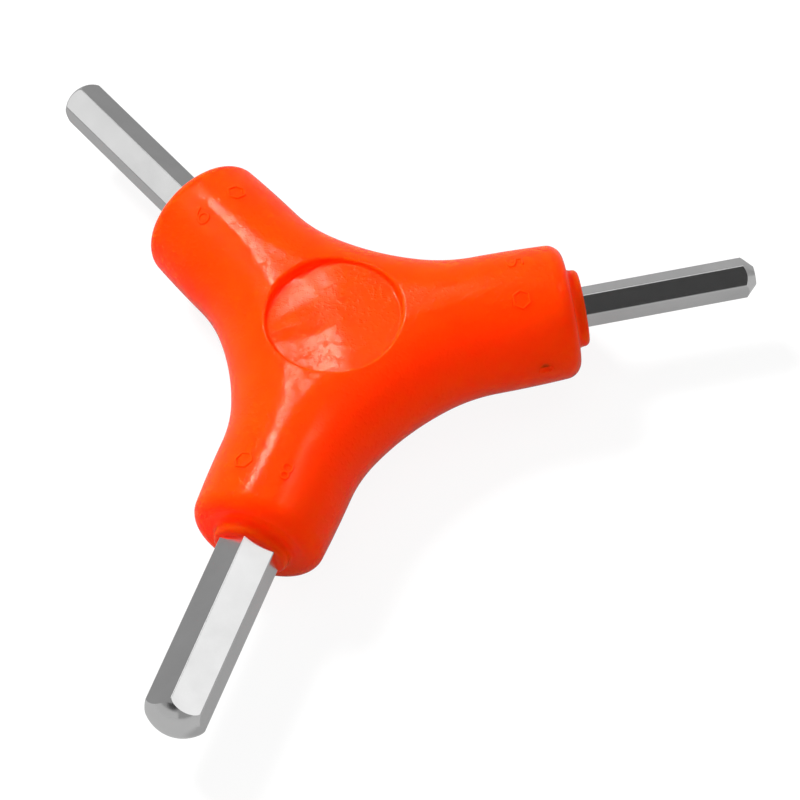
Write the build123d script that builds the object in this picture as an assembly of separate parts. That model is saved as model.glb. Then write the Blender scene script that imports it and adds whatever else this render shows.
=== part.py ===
"""Y wrench: three hexagonal steel keys moulded into one round-armed plastic handle.

The origin is on the flat back of the handle, under the middle of the hub. +Z points out of the
thumb side, and the smallest key points along +X. The other two follow at thirds of a turn,
counterclockwise seen from above. All lengths are in millimetres and all angles in degrees.
"""
from build123d import *
from math import cos, hypot, radians, sin, sqrt
import os

# Layout: three arms, counted from the smallest key
full_turn = 360
arm_count = 3
arm_step = full_turn / arm_count
half_step = arm_step / 2
hexagon_sides = 6

# Keys: the size across the flats, and how far the tip stands from the middle of the hub
small_flats = 5.0
small_reach = 58.8
middle_flats = 6.0
middle_reach = 61.6
large_flats = 8.0
large_reach = 63.6
key_start = 11.5
edge_round = 0.25
bevel_share = 0.24
dome_share = 0.32
dome_edge_round_share = 0.2

# Retention notches: a cut in each upright flat, deep in the plastic, so the key can't slide or turn
notch_length = 2.5
notch_place = 18.0
notch_depth_share = 0.08

# Arms: round, a little thinner at the end, with a rounded end and a collar round the key
arm_root_radius = 9.7
arm_end_radius = 9.3
arm_length = 32.8
arm_end_round = 2.5
collar_radius = 5.4
collar_height = 1.7
collar_edge_round = 0.8
collar_root_round = 0.5

# Webs: two side bends and a flatter middle bend join each pair of arms
web_start = 20.7
web_side_radius = 30.0
web_side_turn = 20.0

# Thumb recess: a slightly crowned floor inside a steep wall
recess_rim_radius = 9.6
recess_floor_radius = 9.4
recess_depth = 1.35
recess_crown = 0.35
recess_corner_round = 0.3
recess_lip_round = 0.35

# Size marks: a raised numeral and a small hexagon on top of each arm, near its end
mark_place = 25.8
mark_spacing = 6.2
mark_letter = 2.7
mark_stroke = 0.38
mark_height = 0.2
five_width_share = 0.5
five_shoulder_share = 0.6
six_bowl_share = 0.28
eight_lower_share = 0.55
hexagon_share = 0.4

# One overrun serves every cut
overrun = 2.0

# Heights that follow from the arm
key_height = arm_root_radius
hub_top = 2 * arm_root_radius
collar_end = arm_length + collar_height


def corner_radius(flats):
    """Distance from the axis of a hexagon to its corners."""
    return flats / sqrt(3)


def on_arm(turn, piece):
    """Turn a piece that was made along +X at the origin to its own arm, at the keys' height."""
    return Pos(0, 0, key_height) * Rot(0, 0, turn * arm_step) * piece


def hexagon(flats):
    """Section of a key across +X, with a corner on top and slightly rounded edges."""
    with BuildSketch(Plane.YZ) as section:
        corner_up = full_turn / hexagon_sides / 2
        RegularPolygon(flats / 2, hexagon_sides, major_radius=False, rotation=corner_up)
        fillet(section.vertices(), edge_round)
    return section.sketch


def bevelled_tip(flats, reach):
    """Turned envelope of a key whose tip has one straight bevel."""
    wide = corner_radius(flats)
    face = flats / 2 - bevel_share * flats
    with BuildSketch() as outline:
        with BuildLine():
            Polyline(
                (key_start, 0),
                (key_start, wide),
                (reach - (wide - face), wide),
                (reach, face),
                (reach, 0),
                (key_start, 0),
            )
        make_face()
    return revolve(outline.sketch, Axis.X)


def domed_tip(flats, reach):
    """Turned envelope of a key whose tip is ground to a low dome."""
    wide = corner_radius(flats)
    rise = dome_share * flats
    with BuildSketch() as outline:
        with BuildLine():
            Polyline((reach, 0), (key_start, 0), (key_start, wide), (reach - rise, wide))
            TangentArc((reach, 0), (reach - rise, wide), tangent=(0, 1))
        make_face()
        corner = outline.vertices().sort_by_distance((reach - rise, wide))[0]
        fillet(corner, dome_edge_round_share * flats)
    return revolve(outline.sketch, Axis.X)


def key(flats, reach, tip):
    """One key along +X: a hexagonal bar with its tip and its two retention notches."""
    bar = extrude(hexagon(flats), reach) & tip(flats, reach)
    depth = notch_depth_share * flats
    for side in (-1, 1):
        bar -= Pos(notch_place, side * flats / 2, 0) * Box(notch_length, 2 * depth, 2 * flats)
    return bar


def arm_envelope(extra=0):
    """Round arm with its rounded end and collar, along +X, thicker all round by extra."""
    root = (web_start, arm_root_radius + extra)
    end = (arm_length, arm_end_radius + extra)
    with BuildSketch() as outline:
        with BuildLine():
            Line((web_start, 0), root)
            TangentArc(root, end, tangent=(1, 0))
            Polyline(
                end,
                (arm_length, collar_radius),
                (collar_end, collar_radius),
                (collar_end, 0),
                (web_start, 0),
            )
        make_face()
        for corner, radius in (
            (end, arm_end_round),
            ((arm_length, collar_radius), collar_root_round),
            ((collar_end, collar_radius), collar_edge_round),
        ):
            fillet(outline.vertices().sort_by_distance(corner)[0], radius)
    return revolve(outline.sketch, Axis.X)


def web_line():
    """Centre line of a web, from one arm to the next, with the middle of the web on +X."""
    normal = Vector(sin(radians(half_step)), cos(radians(half_step)))
    start = Vector(web_start * cos(radians(half_step)), -web_start * sin(radians(half_step)))
    side_centre = start + normal * web_side_radius
    first_angle = 3 * full_turn / 4 - half_step
    join_angle = first_angle - web_side_turn
    join = side_centre + Vector(cos(radians(join_angle)), sin(radians(join_angle))) * web_side_radius
    middle_radius = join.Y / sin(radians(join_angle))
    middle_centre = join.X - middle_radius * cos(radians(join_angle))
    low = CenterArc((side_centre.X, side_centre.Y), web_side_radius, first_angle, -web_side_turn)
    middle = CenterArc((middle_centre, 0), middle_radius, join_angle, full_turn - 2 * join_angle)
    last_angle = full_turn - join_angle
    high = CenterArc((side_centre.X, -side_centre.Y), web_side_radius, last_angle, -web_side_turn)
    return [low, middle, high]


def hub():
    """Round-edged webs between the arms, and the flat-sided middle that they enclose."""
    edges = []
    webs = []
    for turn in range(arm_count):
        line = Wire([Rot(0, 0, turn * arm_step + half_step) * edge for edge in web_line()])
        section = Plane(origin=line @ 0, z_dir=line % 0) * Circle(arm_root_radius)
        webs.append(Pos(0, 0, key_height) * sweep(section, path=line))
        edges.extend(line.edges())
    return extrude(make_face(edges), hub_top), webs


def recess():
    """Space of the thumb recess: steep wall, rounded corner and crowned floor."""
    floor = hub_top - recess_depth
    with BuildSketch() as outline:
        with BuildLine():
            Polyline(
                (recess_floor_radius, floor),
                (recess_rim_radius, hub_top),
                (recess_rim_radius, hub_top + overrun),
                (0, hub_top + overrun),
                (0, floor + recess_crown),
            )
            TangentArc((0, floor + recess_crown), (recess_floor_radius, floor), tangent=(1, 0))
        make_face()
        corner = outline.vertices().sort_by_distance((recess_floor_radius, floor))[0]
        fillet(corner, recess_corner_round)
    return revolve(Rot(full_turn / 4, 0, 0) * outline.sketch, Axis.Z)


def recess_rim(body):
    """Edges where the wall of the recess meets the outside of the handle."""
    wall_foot = hub_top - recess_depth + recess_corner_round
    rim = []
    for edge in body.edges():
        ends = [edge @ 0, edge @ 1]
        misses = [abs(hypot(end.X, end.Y) - recess_rim_radius) for end in ends]
        if max(misses) < recess_lip_round / 2 and min(end.Z for end in ends) > wall_foot:
            rim.append(edge)
    return rim


def ring(radius, height):
    """Ring of one stroke, standing with its middle at the given height."""
    outer = Circle(radius + mark_stroke / 2)
    inner = Circle(radius - mark_stroke / 2)
    return Pos(0, height) * (outer - inner)


def five():
    """Numeral 5, standing on the X axis."""
    side = five_width_share * mark_letter / 2
    top = mark_letter - mark_stroke / 2
    shoulder = five_shoulder_share * mark_letter
    with BuildLine() as pen:
        Polyline((side, top), (-side, top), (-side, shoulder))
        ThreePointArc((-side, shoulder), (side, shoulder / 2 + mark_stroke / 2), (-side, mark_stroke))
    return trace(pen.line, mark_stroke)


def six():
    """Numeral 6, standing on the X axis."""
    bowl = six_bowl_share * mark_letter
    middle = bowl + mark_stroke / 2
    top = mark_letter - mark_stroke / 2
    stem = TangentArc((-bowl, middle), (bowl, top), tangent=(0, 1))
    return ring(bowl, middle) + trace(stem, mark_stroke)


def eight():
    """Numeral 8, standing on the X axis."""
    lower = (mark_letter - mark_stroke) * eight_lower_share / 2
    upper = (mark_letter - mark_stroke) / 2 - lower
    low_middle = lower + mark_stroke / 2
    return ring(lower, low_middle) + ring(upper, low_middle + lower + upper)


def size_mark(numeral):
    """Raised numeral and hexagon on top of an arm along +X, read from the hub outwards."""
    inner = hexagon_share * mark_letter - mark_stroke / 2
    sign = RegularPolygon(inner + mark_stroke, hexagon_sides, major_radius=False)
    sign -= RegularPolygon(inner, hexagon_sides, major_radius=False)
    drawing = Pos(-mark_spacing / 2, -mark_letter / 2) * numeral + Pos(mark_spacing / 2, 0) * sign
    top = Plane(origin=(mark_place, 0, 0), x_dir=(0, -1, 0), z_dir=(0, 0, 1))
    return extrude(top * drawing, hub_top) & arm_envelope(mark_height)


def handle(keys, numerals):
    """The moulded body: arms, webs, hub, recess and marks, with a socket round each key."""
    body, webs = hub()
    for turn in range(arm_count):
        body += on_arm(turn, arm_envelope())
    for web in webs:
        body += web
    body -= recess()
    body = fillet(recess_rim(body), recess_lip_round)
    for turn, numeral in enumerate(numerals):
        body += on_arm(turn, size_mark(numeral))
    for piece in keys:
        body -= piece
    return body


keys = {
    "key_5mm": on_arm(0, key(small_flats, small_reach, bevelled_tip)),
    "key_6mm": on_arm(1, key(middle_flats, middle_reach, domed_tip)),
    "key_8mm": on_arm(2, key(large_flats, large_reach, domed_tip)),
}
pieces = {"handle": handle(keys.values(), (five(), six(), eight())), **keys}

os.makedirs("parts", exist_ok=True)
for name, piece in pieces.items():
    piece.label = name
    export_step(piece, f"parts/{name}.step")
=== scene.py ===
"""Looks of the Y wrench: finer handle surface, raised marks, materials, light and camera."""
import math

import bpy
import numpy as np
from mathutils import Matrix, Vector

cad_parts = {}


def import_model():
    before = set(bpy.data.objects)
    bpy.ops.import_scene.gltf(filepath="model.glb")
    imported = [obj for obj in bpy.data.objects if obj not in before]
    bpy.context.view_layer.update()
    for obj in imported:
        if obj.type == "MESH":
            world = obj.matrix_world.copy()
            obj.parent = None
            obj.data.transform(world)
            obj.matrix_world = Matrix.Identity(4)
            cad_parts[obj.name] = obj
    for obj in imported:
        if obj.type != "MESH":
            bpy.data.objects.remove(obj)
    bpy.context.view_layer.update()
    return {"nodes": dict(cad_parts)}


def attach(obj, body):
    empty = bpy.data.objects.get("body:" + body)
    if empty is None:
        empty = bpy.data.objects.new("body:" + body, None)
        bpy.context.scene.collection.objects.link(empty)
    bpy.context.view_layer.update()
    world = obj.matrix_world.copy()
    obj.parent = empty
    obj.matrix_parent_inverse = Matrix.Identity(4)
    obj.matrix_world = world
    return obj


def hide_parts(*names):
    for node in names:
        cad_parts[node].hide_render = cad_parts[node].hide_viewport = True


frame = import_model()

# The object's lengths are in millimetres, and MM turns them into Blender's metres
MM = 0.001

# Handle, as in the model: mid-plane height, arms, collars and webs
MID = 9.7
ARM_COUNT = 3
ARM_STEP = 2 * math.pi / ARM_COUNT
ROOT_RADIUS = 9.7
END_RADIUS = 9.3
ARM_LENGTH = 32.8
END_ROUND = 2.2
COLLAR_RADIUS = 5.4
COLLAR_END = 34.5
COLLAR_ROUND = 0.8
COLLAR_BLEND = 0.8
WEB_START = 20.7
WEB_SIDE_RADIUS = 30.0
WEB_SIDE_TURN = math.radians(20)

# Thumb recess: foot of its wall, with the height above the mid-plane, and its soft edges
RECESS_RADIUS = 9.4
RECESS_FLOOR = 8.35
WALL_LEAN = 0.15
LIP_BLEND = 0.5
CORNER_BLEND = 0.3

# Recess floor: a low crown that falls away left of a crease, except in a level wedge
CROWN = 0.2
LEVEL_TILT = 0.015
CREASE = 0.5
CREASE_BLEND = 1.2
FALL_NEAR = 0.052
FALL_FAR = 0.006
WEDGE_TURN = math.radians(11)
WEDGE_SHIFT = 1.2
WEDGE_HALF_WIDTH = 2.4
WEDGE_GROWTH = 0.2
WEDGE_EDGE = 3.0

# Net of the handle: cell size, a margin that keeps the cells' planes off the flat back, and the
# steps that pull its points onto the surface, with the least squared slope that they reckon with
NET_CELL = 0.3
NET_MARGIN = 0.73
NET_PULLS = 4
LEAST_STEEPNESS = 0.25
SLOPE_PROBE = 0.02

# Raised marks: centre along the arm, spacing, height of a letter, width and height of a stroke
MARK_PLACE = 25.8
MARK_SPACING = 6.2
MARK_LETTER = 2.7
MARK_STROKE = 0.38
MARK_HEIGHT = 0.2
MARK_SINK = 0.1
MARK_STEP = 0.12
ARC_LEAST_STEPS = 4
FIVE_WIDTH_SHARE = 0.5
FIVE_SHOULDER_SHARE = 0.6
SIX_BOWL_SHARE = 0.28
EIGHT_LOWER_SHARE = 0.55
HEXAGON_SHARE = 0.4
HEXAGON_SIDES = 6

# Beads of the marks: points round a bead, how round its section is, and how narrow its ends are
BEAD_CORNERS = 10
BEAD_ROUNDNESS = 0.6
BEAD_END_SHARE = 0.35

# Gate scar: a torn ring of plastic round a pit on the flank of the first arm, its angle from the top
GATE_PLACE = 27.5
GATE_ANGLE = math.radians(-87)
GATE_RADIUS = 1.3
GATE_SQUASH = 0.6
GATE_HEIGHT = 0.45
GATE_DEPTH = 0.9
GATE_THICKNESS = 0.3
GATE_RIM_SINK = 0.05
GATE_PIT = (0.8, 0.45, 1.2)
GATE_BLEND = 0.2

# Its shape by shares of the way out from its middle: the crest's place and width, and the core's width
GATE_CREST = 0.68
GATE_CREST_WIDTH = 0.16
GATE_CORE_WIDTH = 0.33

# Its raggedness: the shares of reach and depth that a smooth spoke has, and what the roughest adds,
# then how many rings and spokes there are, and the seed of their roughness
GATE_REACH_SHARES = (0.7, 0.4)
GATE_DEPTH_SHARES = (0.6, 0.4)
GATE_RINGS = 12
GATE_SPOKES = 48
GATE_SEED = 7

# Plastic: two tones, roughness, the grain's pits, and how deep light goes in red, green and blue
PLASTIC_TONES = ((1.0, 0.037, 0.0002, 1), (1.0, 0.047, 0.0006, 1))
PLASTIC_ROUGHNESS = (0.09, 0.17)
PLASTIC_SPECULAR = 0.08
PLASTIC_SPECULAR_TINT = (1.0, 0.9, 0.66, 1)
PIT_RANGE = (0.52, 0.7)
LIGHT_DEPTH = 25 * MM
LIGHT_DEPTH_SHARES = (1.0, 0.04, 0.02)

# Steel: tones and roughness between which its smudges vary
STEEL_TONES = (0.86, 0.72)
STEEL_ROUGHNESS = (0.1, 0.2)

# Backdrop, in metres: floor and room, each with the share of its paleness that reflections get
FLOOR_HALF = (3.0, 3.0)
FLOOR_PALENESS = 0.9
FLOOR_GREY = 0.1
FLOOR_BOUNCE_GREY = 0.5
FLOOR_REFLECTED = 0.25
ROOM_LIGHT = 0.06
ROOM_REFLECTED = 0.27
WHITE = (1, 1, 1, 1)

# Dark cards: name, azimuth and elevation in degrees, half sizes in metres, share that is fully dark
CARD_DISTANCE = 0.85
CARD_TONE = (0.05, 0.05, 0.05, 1)
CARDS = (
    ("dark_card", (-84, 65), (0.5, 0.24), 0.6),
    ("low_dark_card", (-126, 33), (0.34, 0.24), 0.35),
)

# Lamps: name, azimuth and elevation in degrees, distance and sizes in metres, brightness
FILLS = (
    ("key", (120, 47), 1.3, (0.4, 0.3), 88.0),
    ("overhead", (60, 76), 1.2, (1.2, 0.9), 1.2),
    ("left_fill", (180, 25), 1.2, (1.2, 0.8), 1.6),
    ("front_fill", (-70, 25), 1.2, (1.2, 0.8), 2.0),
)
PLASTIC_PANELS = (
    ("back_strip", (103.5, 56), 1.0, (0.225, 0.13), 58.0),
    ("right_strip", (14, 50), 1.0, (0.25, 0.2), 7.5),
    ("left_sheen", (140, 50), 1.0, (0.4, 0.2), 3.2),
)
STEEL_PANELS = (
    ("back_glint", (95, 61), 1.0, (0.45, 0.35), 1.3),
    ("front_box", (-145, 8), 1.0, (1.4, 0.45), 0.2),
)
LYING_PANEL = ("front_panel", (-90, 0), 0.6, (2.4, 1.22), 0.117)
LYING_PANEL_HEIGHT = 0.0004
BOXES = (
    ("left_box", (169, 42), 1.0, (0.5, 0.4), 0.56),
    ("right_box", (9, 45), 1.0, (0.45, 0.45), 0.74),
)

# Camera: the hub's middle lies at this pixel of the 800 pixel frame, and angles are in degrees
FRAME_PIXELS = 800
HUB_PIXEL = (340.3, 352.3)
FOCAL_PIXELS = 4433.0
CAMERA_DISTANCE = 618.0
CAMERA_ELEVATION = 55.16
CAMERA_ROLL = -10.06
CAMERA_AZIMUTH = 0.56
SENSOR_WIDTH = 36.0
CLIP_RANGE = (0.01, 20.0)


def smooth_min(a, b, blend):
    """Union of two fields with a soft inside corner."""
    near = np.maximum(blend - np.abs(a - b), 0) / blend
    return np.minimum(a, b) - near * near * blend / 4


def smooth_max(a, b, blend):
    """Intersection of two fields with a soft edge."""
    return -smooth_min(-a, -b, blend)


def rounded(a, b, radius):
    """Intersection of two fields with a round edge of the given radius."""
    a = a + radius
    b = b + radius
    return np.hypot(np.maximum(a, 0), np.maximum(b, 0)) + np.minimum(np.maximum(a, b), 0) - radius


def fold(x, y):
    """Distance along the nearest arm and distance across it, never negative."""
    angle = np.arctan2(y, x)
    turn = np.abs((angle + ARM_STEP / 2) % ARM_STEP - ARM_STEP / 2)
    radius = np.hypot(x, y)
    return radius * np.cos(turn), radius * np.sin(turn)


def outside_spine(along, across):
    """Distance outside the star of arm axes and web lines, negative inside it."""
    side_x, side_y = WEB_START, WEB_SIDE_RADIUS
    way_x, way_y = math.sin(WEB_SIDE_TURN), math.cos(WEB_SIDE_TURN)
    join_x = side_x - WEB_SIDE_RADIUS * way_x
    join_y = side_y - WEB_SIDE_RADIUS * way_y
    steep = math.tan(ARM_STEP / 2)
    middle_radius = (steep * join_x - join_y) / (way_y - steep * way_x)
    middle_x = join_x + middle_radius * way_x
    middle_y = join_y + middle_radius * way_y
    side = WEB_SIDE_RADIUS - np.hypot(along - side_x, across - side_y)
    middle = middle_radius - np.hypot(along - middle_x, across - middle_y)
    past_join = way_y * (along - join_x) - way_x * (across - join_y) > 0
    return np.where(along > WEB_START, across, np.where(past_join, side, middle))


def arm_radius(along):
    """Radius of an arm, which gets a little thinner towards its end."""
    share = np.clip((along - WEB_START) / (ARM_LENGTH - WEB_START), 0, 1)
    return ROOT_RADIUS - (ROOT_RADIUS - END_RADIUS) * share * share


def recess_floor(x, y):
    """Height of the recess floor above the mid-plane."""
    past = smooth_min(x - CREASE, np.zeros_like(x), CREASE_BLEND)
    right = np.maximum(x - CREASE, 0) / RECESS_RADIUS
    middle = WEDGE_SHIFT + past * math.tan(WEDGE_TURN)
    beside = np.abs(y - middle) - WEDGE_HALF_WIDTH - past * WEDGE_GROWTH
    step = np.clip(beside / WEDGE_EDGE + 0.5, 0, 1)
    slope = FALL_NEAR + (FALL_NEAR - FALL_FAR) * past / (2 * RECESS_RADIUS)
    fall = past * slope * step * step * (3 - 2 * step)
    level = CROWN * (1 - right * right - (y / RECESS_RADIUS) ** 2 / 2)
    return RECESS_FLOOR + level + fall - LEVEL_TILT * x


def gate_pit(x, y, z):
    """Small oval pit where the plastic was snapped off its runner."""
    out = arm_radius(GATE_PLACE)
    up_y, up_z = math.sin(GATE_ANGLE), math.cos(GATE_ANGLE)
    wide, tall, deep = GATE_PIT
    along = (x - GATE_PLACE) / wide
    across = (y * up_z - z * up_y) / tall
    lift = (y * up_y + z * up_z - out) / deep
    return (np.sqrt(along * along + across * across + lift * lift) - 1) * tall


def handle_field(points):
    """Negative inside the handle, positive outside, with z from the mid-plane."""
    x, y, z = points[..., 0], points[..., 1], points[..., 2]
    along, across = fold(x, y)
    spread = np.maximum(outside_spine(along, across), 0)
    body = rounded(np.hypot(spread, z) - arm_radius(along), along - ARM_LENGTH, END_ROUND)
    collar = rounded(np.hypot(across, z) - COLLAR_RADIUS, along - COLLAR_END, COLLAR_ROUND)
    body = smooth_min(body, collar, COLLAR_BLEND)
    wall = np.hypot(x, y) - RECESS_RADIUS - (z - RECESS_FLOOR) * WALL_LEAN
    recess = smooth_max(wall, recess_floor(x, y) - z, CORNER_BLEND)
    body = smooth_max(body, -recess, LIP_BLEND)
    return smooth_max(body, -gate_pit(x, y, z), GATE_BLEND)


def slopes(field, points):
    """Gradient of a field at the given points."""
    parts = []
    for axis in range(3):
        probe = np.zeros(3)
        probe[axis] = SLOPE_PROBE
        parts.append((field(points + probe) - field(points - probe)) / (2 * SLOPE_PROBE))
    return np.stack(parts, -1)


def net_points(value):
    """Points of a surface net, in grid steps: the mean of the crossings on each crossed cell's edges."""
    cells = tuple(n - 1 for n in value.shape)
    total = np.zeros(cells + (3,))
    count = np.zeros(cells)
    for axis in range(3):
        start = np.moveaxis(value, axis, 0)[:-1]
        stop = np.moveaxis(value, axis, 0)[1:]
        crossed = (start < 0) != (stop < 0)
        share = np.where(crossed, start / np.where(crossed, start - stop, 1), 0)
        crossed = np.moveaxis(crossed, 0, axis)
        place = np.indices(crossed.shape).astype(float)
        place[axis] += np.moveaxis(share, 0, axis)
        others = [other for other in range(3) if other != axis]
        for shift in ((0, 0), (0, 1), (1, 0), (1, 1)):
            window = [slice(None)] * 3
            for other, step in zip(others, shift):
                window[other] = slice(step, value.shape[other] - 1 + step)
            here = crossed[tuple(window)]
            count += here
            total += np.moveaxis(place[(slice(None), *window)] * here, 0, -1)
    used = count > 0
    number = np.full(cells, -1)
    number[used] = np.arange(used.sum())
    return total[used] / count[used][:, None], number


def net_faces(value, number):
    """Quads of a surface net: one for each crossed grid edge."""
    faces = []
    for axis in range(3):
        one, two = (axis + 1) % 3, (axis + 2) % 3
        turned = np.transpose(value, (axis, one, two))
        cell = np.transpose(number, (axis, one, two))
        start = turned[:-1, 1:-1, 1:-1] < 0
        stop = turned[1:, 1:-1, 1:-1] < 0
        ring = (cell[:, :-1, :-1], cell[:, 1:, :-1], cell[:, 1:, 1:], cell[:, :-1, 1:])
        for here, order in ((start & ~stop, (0, 1, 2, 3)), (~start & stop, (3, 2, 1, 0))):
            faces.append(np.stack([ring[corner][here] for corner in order], -1))
    return np.concatenate(faces)


def link_mesh(name, points, faces, normals=None):
    """Smooth-shaded mesh object from points in millimetres above the mid-plane."""
    mesh = bpy.data.meshes.new(name)
    mesh.from_pydata(((points + [0, 0, MID]) * MM).tolist(), [], [list(face) for face in faces])
    mesh.shade_smooth()
    if normals is not None:
        mesh.normals_split_custom_set_from_vertices(normals.tolist())
    piece = bpy.data.objects.new(name, mesh)
    bpy.context.scene.collection.objects.link(piece)
    return piece


def handle_piece():
    """The moulded handle as one closed net."""
    low = -np.array([COLLAR_END, COLLAR_END, ROOT_RADIUS]) - NET_MARGIN
    counts = np.ceil(-2 * low / NET_CELL).astype(int)
    axes = [low[i] + NET_CELL * np.arange(counts[i] + 1) for i in range(3)]
    value = handle_field(np.stack(np.meshgrid(*axes, indexing="ij"), -1))
    points, number = net_points(value)
    points = low + NET_CELL * points
    for _ in range(NET_PULLS):
        slope = slopes(handle_field, points)
        steepness = (slope * slope).sum(-1, keepdims=True)
        points -= handle_field(points)[:, None] * slope / np.maximum(steepness, LEAST_STEEPNESS)
    slope = slopes(handle_field, points)
    normals = slope / np.linalg.norm(slope, axis=-1, keepdims=True)
    piece = link_mesh("handle_shell", points, net_faces(value, number), normals)
    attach(piece, "root")
    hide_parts("handle")
    return piece


def on_arm(turn, along, across):
    """Points on the surface of an arm, and the outward directions there, above the mid-plane."""
    radius = arm_radius(along)
    lift = np.sqrt(radius * radius - across * across)
    points = np.stack([along, across, lift], -1)
    outward = np.stack([np.zeros_like(along), across / radius, lift / radius], -1)
    c, s = math.cos(turn * ARM_STEP), math.sin(turn * ARM_STEP)
    spin = np.array([[c, s, 0], [-s, c, 0], [0, 0, 1]])
    return points @ spin, outward @ spin


def arc(middle, radius, start, stop):
    """Points of an arc in a mark's own plane, from one angle in degrees to another."""
    count = max(ARC_LEAST_STEPS, int(radius * math.radians(abs(stop - start)) / MARK_STEP))
    angles = np.radians(np.linspace(start, stop, count + 1))
    return np.stack([middle[0] + radius * np.cos(angles), middle[1] + radius * np.sin(angles)], -1)


def straight(*corners):
    """Points along straight strokes from corner to corner."""
    parts = []
    for start, stop in zip(corners[:-1], corners[1:]):
        count = max(1, int(math.dist(start, stop) / MARK_STEP))
        share = np.linspace(0, 1, count, endpoint=False)[:, None]
        parts.append(np.array(start) + share * (np.array(stop) - np.array(start)))
    return np.concatenate(parts + [np.array([corners[-1]])])


def five():
    """Stroke of a 5, standing on the line of writing."""
    side = FIVE_WIDTH_SHARE * MARK_LETTER / 2
    top = MARK_LETTER - MARK_STROKE / 2
    shoulder = FIVE_SHOULDER_SHARE * MARK_LETTER
    bowl = (shoulder - MARK_STROKE) / 2
    hook = arc((-side, MARK_STROKE + bowl), bowl, 90, -90)
    hook[:, 0] = -side + (hook[:, 0] + side) * 2 * side / bowl
    flag = straight((side, top), (-side, top), (-side, shoulder))
    return [np.concatenate([flag[:-1], hook])]


def six():
    """Strokes of a 6: a ring with a stem that bends over it."""
    bowl = SIX_BOWL_SHARE * MARK_LETTER
    middle = bowl + MARK_STROKE / 2
    rise = MARK_LETTER - MARK_STROKE / 2 - middle
    bend = arc((0, 0), 1, 180, 90)
    stem = np.stack([bowl + bend[:, 0] * 2 * bowl, middle + bend[:, 1] * rise], -1)
    return [arc((0, middle), bowl, 0, 360), stem]


def eight():
    """Strokes of an 8: one ring on another."""
    lower = (MARK_LETTER - MARK_STROKE) * EIGHT_LOWER_SHARE / 2
    upper = (MARK_LETTER - MARK_STROKE) / 2 - lower
    middle = lower + MARK_STROKE / 2
    return [arc((0, middle), lower, 0, 360), arc((0, middle + lower + upper), upper, 0, 360)]


def hexagon():
    """Stroke of a small hexagon round its middle."""
    radius = HEXAGON_SHARE * MARK_LETTER / math.cos(math.pi / HEXAGON_SIDES)
    angles = np.radians(np.arange(HEXAGON_SIDES + 1) * 360 / HEXAGON_SIDES)
    return [straight(*[(radius * math.cos(a), radius * math.sin(a)) for a in angles])]


def squared(wave):
    """A sine or cosine flattened towards its ends, so that a round section gets squarer."""
    return np.sign(wave) * np.abs(wave) ** BEAD_ROUNDNESS


def bead(turn, stroke):
    """Raised bead along a stroke on an arm: its points and its faces."""
    points, outward = on_arm(turn, MARK_PLACE + stroke[:, 1], -stroke[:, 0])
    closed = math.dist(stroke[0], stroke[-1]) < MARK_STEP / 2
    if closed:
        points, outward = points[:-1], outward[:-1]
        along = np.roll(points, -1, 0) - np.roll(points, 1, 0)
    else:
        along = np.gradient(points, axis=0)
    side = np.cross(along, outward)
    side /= np.linalg.norm(side, axis=-1, keepdims=True)
    size = np.ones(len(points))
    if not closed:
        size[0] = size[-1] = BEAD_END_SHARE
    angles = np.radians(np.arange(BEAD_CORNERS) * 360 / BEAD_CORNERS)
    rise = np.sin(angles)
    lift = np.where(rise > 0, MARK_HEIGHT, MARK_SINK) * squared(rise)
    spread = MARK_STROKE / 2 * squared(np.cos(angles))
    around = side[:, None] * spread[:, None] * size[:, None, None] + outward[:, None] * lift[:, None]
    net = points[:, None] + around
    rows = len(points)
    faces = []
    for row in range(rows if closed else rows - 1):
        here = row * BEAD_CORNERS
        after = (row + 1) % rows * BEAD_CORNERS
        for corner in range(BEAD_CORNERS):
            beside = (corner + 1) % BEAD_CORNERS
            faces.append([here + corner, after + corner, after + beside, here + beside])
    if not closed:
        last = (rows - 1) * BEAD_CORNERS
        faces.append(list(range(BEAD_CORNERS)))
        faces.append(list(range(last + BEAD_CORNERS - 1, last - 1, -1)))
    return net.reshape(-1, 3), faces


def mark_piece(turn, name, numeral):
    """Raised numeral and hexagon of one arm."""
    points = []
    faces = []
    count = 0
    letter = [stroke + [-MARK_SPACING / 2, -MARK_LETTER / 2] for stroke in numeral]
    sign = [stroke + [MARK_SPACING / 2, 0] for stroke in hexagon()]
    for stroke in letter + sign:
        net, around = bead(turn, stroke)
        points.append(net)
        faces.extend([[count + corner for corner in face] for face in around])
        count += len(net)
    piece = link_mesh(name, np.concatenate(points), faces)
    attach(piece, "root")
    return piece


def bell(distance, width):
    """One at no distance, and softly falling to nothing beyond the given width."""
    return math.exp(-(distance / width) ** 2)


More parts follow.
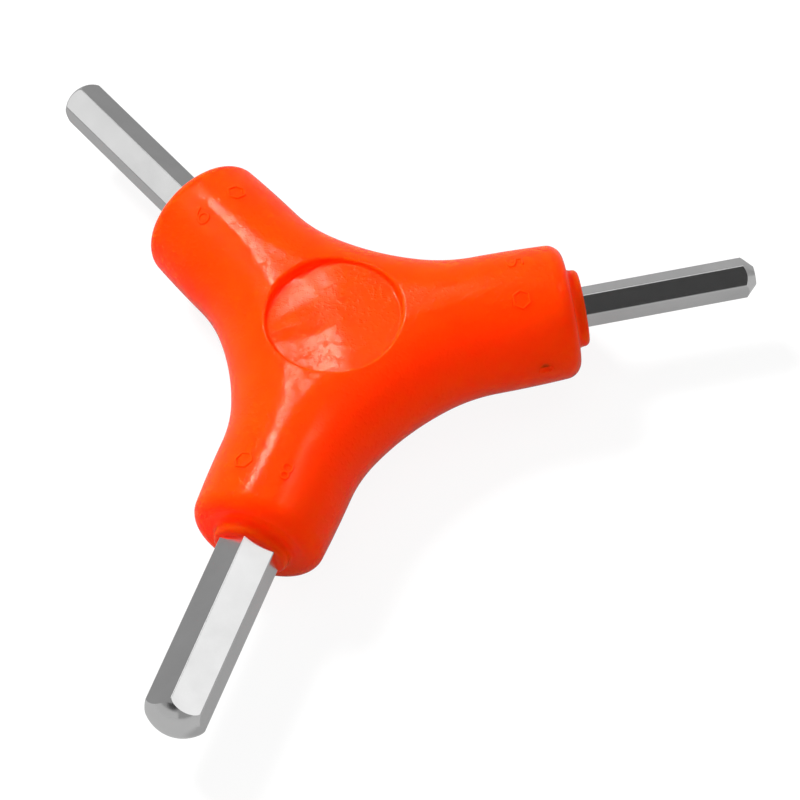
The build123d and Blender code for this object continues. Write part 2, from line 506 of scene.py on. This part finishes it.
def gate_piece():
    """Torn ring of plastic round the pit, with the ragged bottom of the pit, as one closed skin."""
    random = np.random.default_rng(GATE_SEED)
    rough = random.uniform(0.0, 1.0, GATE_SPOKES)
    rough = (2 * rough + np.roll(rough, 1) + np.roll(rough, -1)) / 4
    reaches = GATE_REACH_SHARES[0] + GATE_REACH_SHARES[1] * rough
    depths = GATE_DEPTH_SHARES[0] + GATE_DEPTH_SHARES[1] * rough
    angles = np.linspace(0, 2 * math.pi, GATE_SPOKES, endpoint=False)
    shares = (np.arange(GATE_RINGS) + 0.5) / GATE_RINGS
    rings = [(share, 0) for share in shares] + [(share, GATE_THICKNESS) for share in shares[::-1]]
    points = []
    for share, sink in rings:
        reach = GATE_RADIUS * share * reaches
        crest = GATE_HEIGHT * bell(share - GATE_CREST, GATE_CREST_WIDTH) * rough
        core = GATE_DEPTH * bell(share, GATE_CORE_WIDTH) * depths
        along = GATE_PLACE + reach * np.cos(angles)
        radius = arm_radius(along)
        turn = GATE_ANGLE + GATE_SQUASH * reach * np.sin(angles) / radius
        outward = np.stack([np.zeros_like(turn), np.sin(turn), np.cos(turn)], -1)
        middle = np.stack([along, np.zeros_like(along), np.zeros_like(along)], -1)
        height = radius + crest - core - GATE_RIM_SINK * share - sink
        points.append(middle + outward * height[:, None])
    faces = []
    for ring in range(len(rings) - 1):
        inner = ring * GATE_SPOKES
        outer = inner + GATE_SPOKES
        for spoke in range(GATE_SPOKES):
            beside = (spoke + 1) % GATE_SPOKES
            faces.append([inner + spoke, outer + spoke, outer + beside, inner + beside])
    last = (len(rings) - 1) * GATE_SPOKES
    faces.append(list(range(GATE_SPOKES)))
    faces.append(list(range(last + GATE_SPOKES - 1, last - 1, -1)))
    piece = link_mesh("gate_scar", np.concatenate(points), faces)
    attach(piece, "root")
    return piece


def feed(tree, socket, value):
    """Link another node's output to a socket, or set the socket to a plain value."""
    if isinstance(value, bpy.types.NodeSocket):
        tree.links.new(value, socket)
    else:
        socket.default_value = value


def node(tree, kind, **inputs):
    """New shader node whose named sockets are fed, with spaces in their names as underscores."""
    made = tree.nodes.new(kind)
    for name, value in inputs.items():
        feed(tree, made.inputs[name.replace("_", " ")], value)
    return made


def calculated(tree, operation, first, second):
    """Output of a math node."""
    made = tree.nodes.new("ShaderNodeMath")
    made.operation = operation
    feed(tree, made.inputs[0], first)
    feed(tree, made.inputs[1], second)
    return made.outputs[0]


def noise(tree, place, scale, detail):
    """Noise with its scale in waves per metre."""
    return node(tree, "ShaderNodeTexNoise", Vector=place, Scale=scale, Detail=detail).outputs["Fac"]


def between(tree, share, ends):
    """Value between two ends, by a share from 0 to 1."""
    made = node(tree, "ShaderNodeMapRange", Value=share, To_Min=ends[0], To_Max=ends[1])
    return made.outputs["Result"]


def new_material(name):
    """Empty node material with its output node."""
    material = bpy.data.materials.new(name)
    material.use_nodes = True
    tree = material.node_tree
    tree.nodes.clear()
    return material, tree, tree.nodes.new("ShaderNodeOutputMaterial")


def plastic_material(name, depth):
    """Glossy moulded plastic that lets red light through, as deep as given from none to fully."""
    material, tree, output = new_material(name)
    place = tree.nodes.new("ShaderNodeTexCoord").outputs["Object"]
    wave = noise(tree, place, 240.0, 2.0)
    grain = noise(tree, place, 1900.0, 2.0)
    low, high = PIT_RANGE
    pits = node(tree, "ShaderNodeMapRange", Value=grain, From_Min=low, From_Max=high).outputs["Result"]
    broad = node(tree, "ShaderNodeBump", Strength=0.3, Distance=0.3 * MM, Height=wave)
    fine = node(tree, "ShaderNodeBump", Strength=0.6, Distance=0.05 * MM, Height=pits)
    feed(tree, fine.inputs["Normal"], broad.outputs["Normal"])
    tone = node(tree, "ShaderNodeValToRGB", Fac=wave)
    for element, color in zip(tone.color_ramp.elements, PLASTIC_TONES):
        element.color = color
    shader = node(
        tree,
        "ShaderNodeBsdfPrincipled",
        Normal=fine.outputs["Normal"],
        Roughness=between(tree, grain, PLASTIC_ROUGHNESS),
        Base_Color=tone.outputs["Color"],
        Specular_IOR_Level=PLASTIC_SPECULAR,
        Specular_Tint=PLASTIC_SPECULAR_TINT,
        Subsurface_Weight=depth,
        Subsurface_Radius=LIGHT_DEPTH_SHARES,
        Subsurface_Scale=LIGHT_DEPTH,
    )
    feed(tree, output.inputs["Surface"], shader.outputs["BSDF"])
    return material


def steel_material():
    """Bright plated steel with faint smudges."""
    material, tree, output = new_material("plated_steel")
    place = tree.nodes.new("ShaderNodeTexCoord").outputs["Object"]
    smudge = noise(tree, place, 220.0, 6.0)
    grain = noise(tree, place, 1500.0, 3.0)
    bump = node(tree, "ShaderNodeBump", Strength=0.2, Distance=0.02 * MM, Height=grain)
    shader = node(
        tree,
        "ShaderNodeBsdfPrincipled",
        Normal=bump.outputs["Normal"],
        Roughness=between(tree, smudge, STEEL_ROUGHNESS),
        Base_Color=between(tree, smudge, STEEL_TONES),
        Metallic=1.0,
    )
    feed(tree, output.inputs["Surface"], shader.outputs["BSDF"])
    return material


def set_material(piece, material):
    """Give a piece one material in every slot."""
    if not piece.data.materials:
        piece.data.materials.append(material)
    for slot in piece.material_slots:
        slot.material = material


def pale_share(tree, reflected):
    """Share of the backdrop's paleness: all of it for the camera, part of it in reflections."""
    path = tree.nodes.new("ShaderNodeLightPath")
    glossy = calculated(tree, "MULTIPLY", path.outputs["Is Glossy Ray"], reflected)
    seen = calculated(tree, "MAXIMUM", path.outputs["Is Camera Ray"], glossy)
    return calculated(tree, "MAXIMUM", seen, path.outputs["Is Transmission Ray"])


def join_shaders(tree, joint, first, second, output):
    """Send two shaders through an add or mix node to the output node."""
    feed(tree, joint.inputs[-2], first.outputs[0])
    feed(tree, joint.inputs[-1], second.outputs[0])
    feed(tree, output.inputs["Surface"], joint.outputs[0])


def rectangle(name, half):
    """Flat rectangle round the origin, with the given half sizes."""
    wide, high = half
    mesh = bpy.data.meshes.new(name)
    corners = [(-wide, -high, 0), (wide, -high, 0), (wide, high, 0), (-wide, high, 0)]
    mesh.from_pydata(corners, [], [(0, 1, 2, 3)])
    piece = bpy.data.objects.new(name, mesh)
    bpy.context.scene.collection.objects.link(piece)
    return piece


def floor():
    """Pale floor that keeps a soft shadow, and sends light back to the object as a mid grey does."""
    piece = rectangle("floor", FLOOR_HALF)
    material, tree, output = new_material("floor")
    bounced = tree.nodes.new("ShaderNodeLightPath").outputs["Is Diffuse Ray"]
    grey = between(tree, bounced, (FLOOR_GREY, FLOOR_BOUNCE_GREY))
    pale = between(tree, pale_share(tree, FLOOR_REFLECTED), (0.0, FLOOR_PALENESS))
    matt = node(tree, "ShaderNodeBsdfDiffuse", Color=grey)
    glow = node(tree, "ShaderNodeEmission", Strength=pale)
    join_shaders(tree, node(tree, "ShaderNodeAddShader"), matt, glow, output)
    set_material(piece, material)


def world():
    """Dim even room light behind a white backdrop."""
    made = bpy.data.worlds.new("world")
    made.use_nodes = True
    tree = made.node_tree
    tree.nodes.clear()
    output = tree.nodes.new("ShaderNodeOutputWorld")
    room = node(tree, "ShaderNodeBackground", Color=WHITE, Strength=ROOM_LIGHT)
    white = node(tree, "ShaderNodeBackground", Color=WHITE, Strength=1.0)
    mix = node(tree, "ShaderNodeMixShader", Fac=pale_share(tree, ROOM_REFLECTED))
    join_shaders(tree, mix, room, white, output)
    bpy.context.scene.world = made


def direction(azimuth, elevation):
    """Unit vector from the hub towards the given direction in degrees."""
    a, e = math.radians(azimuth), math.radians(elevation)
    return Vector((math.cos(e) * math.cos(a), math.cos(e) * math.sin(a), math.sin(e)))


def dark_card(name, aim, half, core):
    """Dark card that only reflections show, solid in its core and clear towards its rim."""
    piece = rectangle(name, half)
    way = direction(*aim)
    piece.location = way * CARD_DISTANCE
    piece.rotation_euler = way.to_track_quat("Z", "Y").to_euler()
    piece.visible_camera = False
    piece.visible_diffuse = False
    piece.visible_shadow = False
    material, tree, output = new_material(name)
    place = tree.nodes.new("ShaderNodeTexCoord").outputs["Object"]
    share = node(tree, "ShaderNodeMapping", Vector=place, Scale=(1 / half[0], 1 / half[1], 1.0))
    fade = node(tree, "ShaderNodeTexGradient", Vector=share.outputs["Vector"])
    fade.gradient_type = "SPHERICAL"
    dense = node(tree, "ShaderNodeMapRange", Value=fade.outputs["Fac"], From_Max=1 - core)
    dense.interpolation_type = "SMOOTHSTEP"
    clear = node(tree, "ShaderNodeBsdfTransparent")
    matt = node(tree, "ShaderNodeBsdfDiffuse", Color=CARD_TONE)
    mix = node(tree, "ShaderNodeMixShader", Fac=dense.outputs["Result"])
    join_shaders(tree, mix, clear, matt, output)
    set_material(piece, material)


def lamp(name, aim, distance, size, radiance):
    """Rectangular soft lamp that faces the hub and that the camera doesn't see."""
    data = bpy.data.lights.new(name, "AREA")
    data.shape = "RECTANGLE"
    data.size, data.size_y = size
    data.energy = radiance * math.pi * size[0] * size[1]
    made = bpy.data.objects.new(name, data)
    way = direction(*aim)
    made.location = way * distance
    made.rotation_euler = way.to_track_quat("Z", "Y").to_euler()
    made.visible_camera = False
    bpy.context.scene.collection.objects.link(made)
    return made


def panel(pieces, values):
    """Lamp that only shows as a reflection in the given pieces."""
    made = lamp(*values)
    made.visible_diffuse = False
    lit = bpy.data.collections.new(made.name)
    for piece in pieces:
        lit.objects.link(piece)
    made.light_linking.receiver_collection = lit
    return made


def lights(moulded, keys):
    """Lamps that only light the object, panels that only show in it, and boxes that do both."""
    for values in FILLS:
        lamp(*values).visible_glossy = False
    for values in PLASTIC_PANELS:
        panel(moulded, values)
    for values in STEEL_PANELS:
        panel(keys, values)
    lying = panel(keys, LYING_PANEL)
    lying.location.z = LYING_PANEL_HEIGHT
    lying.rotation_euler = (math.pi, 0, 0)
    for values in BOXES:
        lamp(*values)


def camera():
    """Camera at the photograph's viewing angle."""
    middle = FRAME_PIXELS / 2
    lift = math.radians(CAMERA_ELEVATION)
    roll = Matrix.Rotation(math.radians(CAMERA_ROLL), 3, "Z")
    spin = Matrix.Rotation(math.radians(CAMERA_AZIMUTH), 3, "Z")
    ray = Vector([(pixel - middle) / FOCAL_PIXELS for pixel in HUB_PIXEL] + [1.0]).normalized()
    forward = Vector((0, math.cos(lift), -math.sin(lift)))
    right = forward.cross(Vector((0, 0, 1))).normalized()
    level = Matrix((right, forward.cross(right), forward))
    aim = Vector((0, 0, 1)).rotation_difference(ray).to_matrix()
    turn = aim @ roll @ level @ spin
    place = -(turn.transposed() @ (ray * CAMERA_DISTANCE)) + Vector((0, 0, MID))
    data = bpy.data.cameras.new("camera")
    data.sensor_width = SENSOR_WIDTH
    data.lens = FOCAL_PIXELS / FRAME_PIXELS * SENSOR_WIDTH
    data.clip_start, data.clip_end = CLIP_RANGE
    made = bpy.data.objects.new("camera", data)
    axes = Matrix((turn[0], -turn[1], -turn[2])).transposed().to_4x4()
    made.matrix_world = Matrix.Translation(place * MM) @ axes
    bpy.context.scene.collection.objects.link(made)
    bpy.context.scene.camera = made


plastic = plastic_material("moulded_plastic", 1.0)
relief = plastic_material("moulded_relief", 0.0)
steel = steel_material()
moulded = [
    handle_piece(),
    mark_piece(0, "mark_5", five()),
    mark_piece(1, "mark_6", six()),
    mark_piece(2, "mark_8", eight()),
    gate_piece(),
]
for piece in moulded:
    set_material(piece, plastic if piece.name == "handle_shell" else relief)
keys = [frame["nodes"][name] for name in ("key_5mm", "key_6mm", "key_8mm")]
for piece in keys:
    set_material(piece, steel)
floor()
for values in CARDS:
    dark_card(*values)
world()
lights(moulded, keys)
camera()
bpy.context.scene.view_settings.view_transform = "Standard"
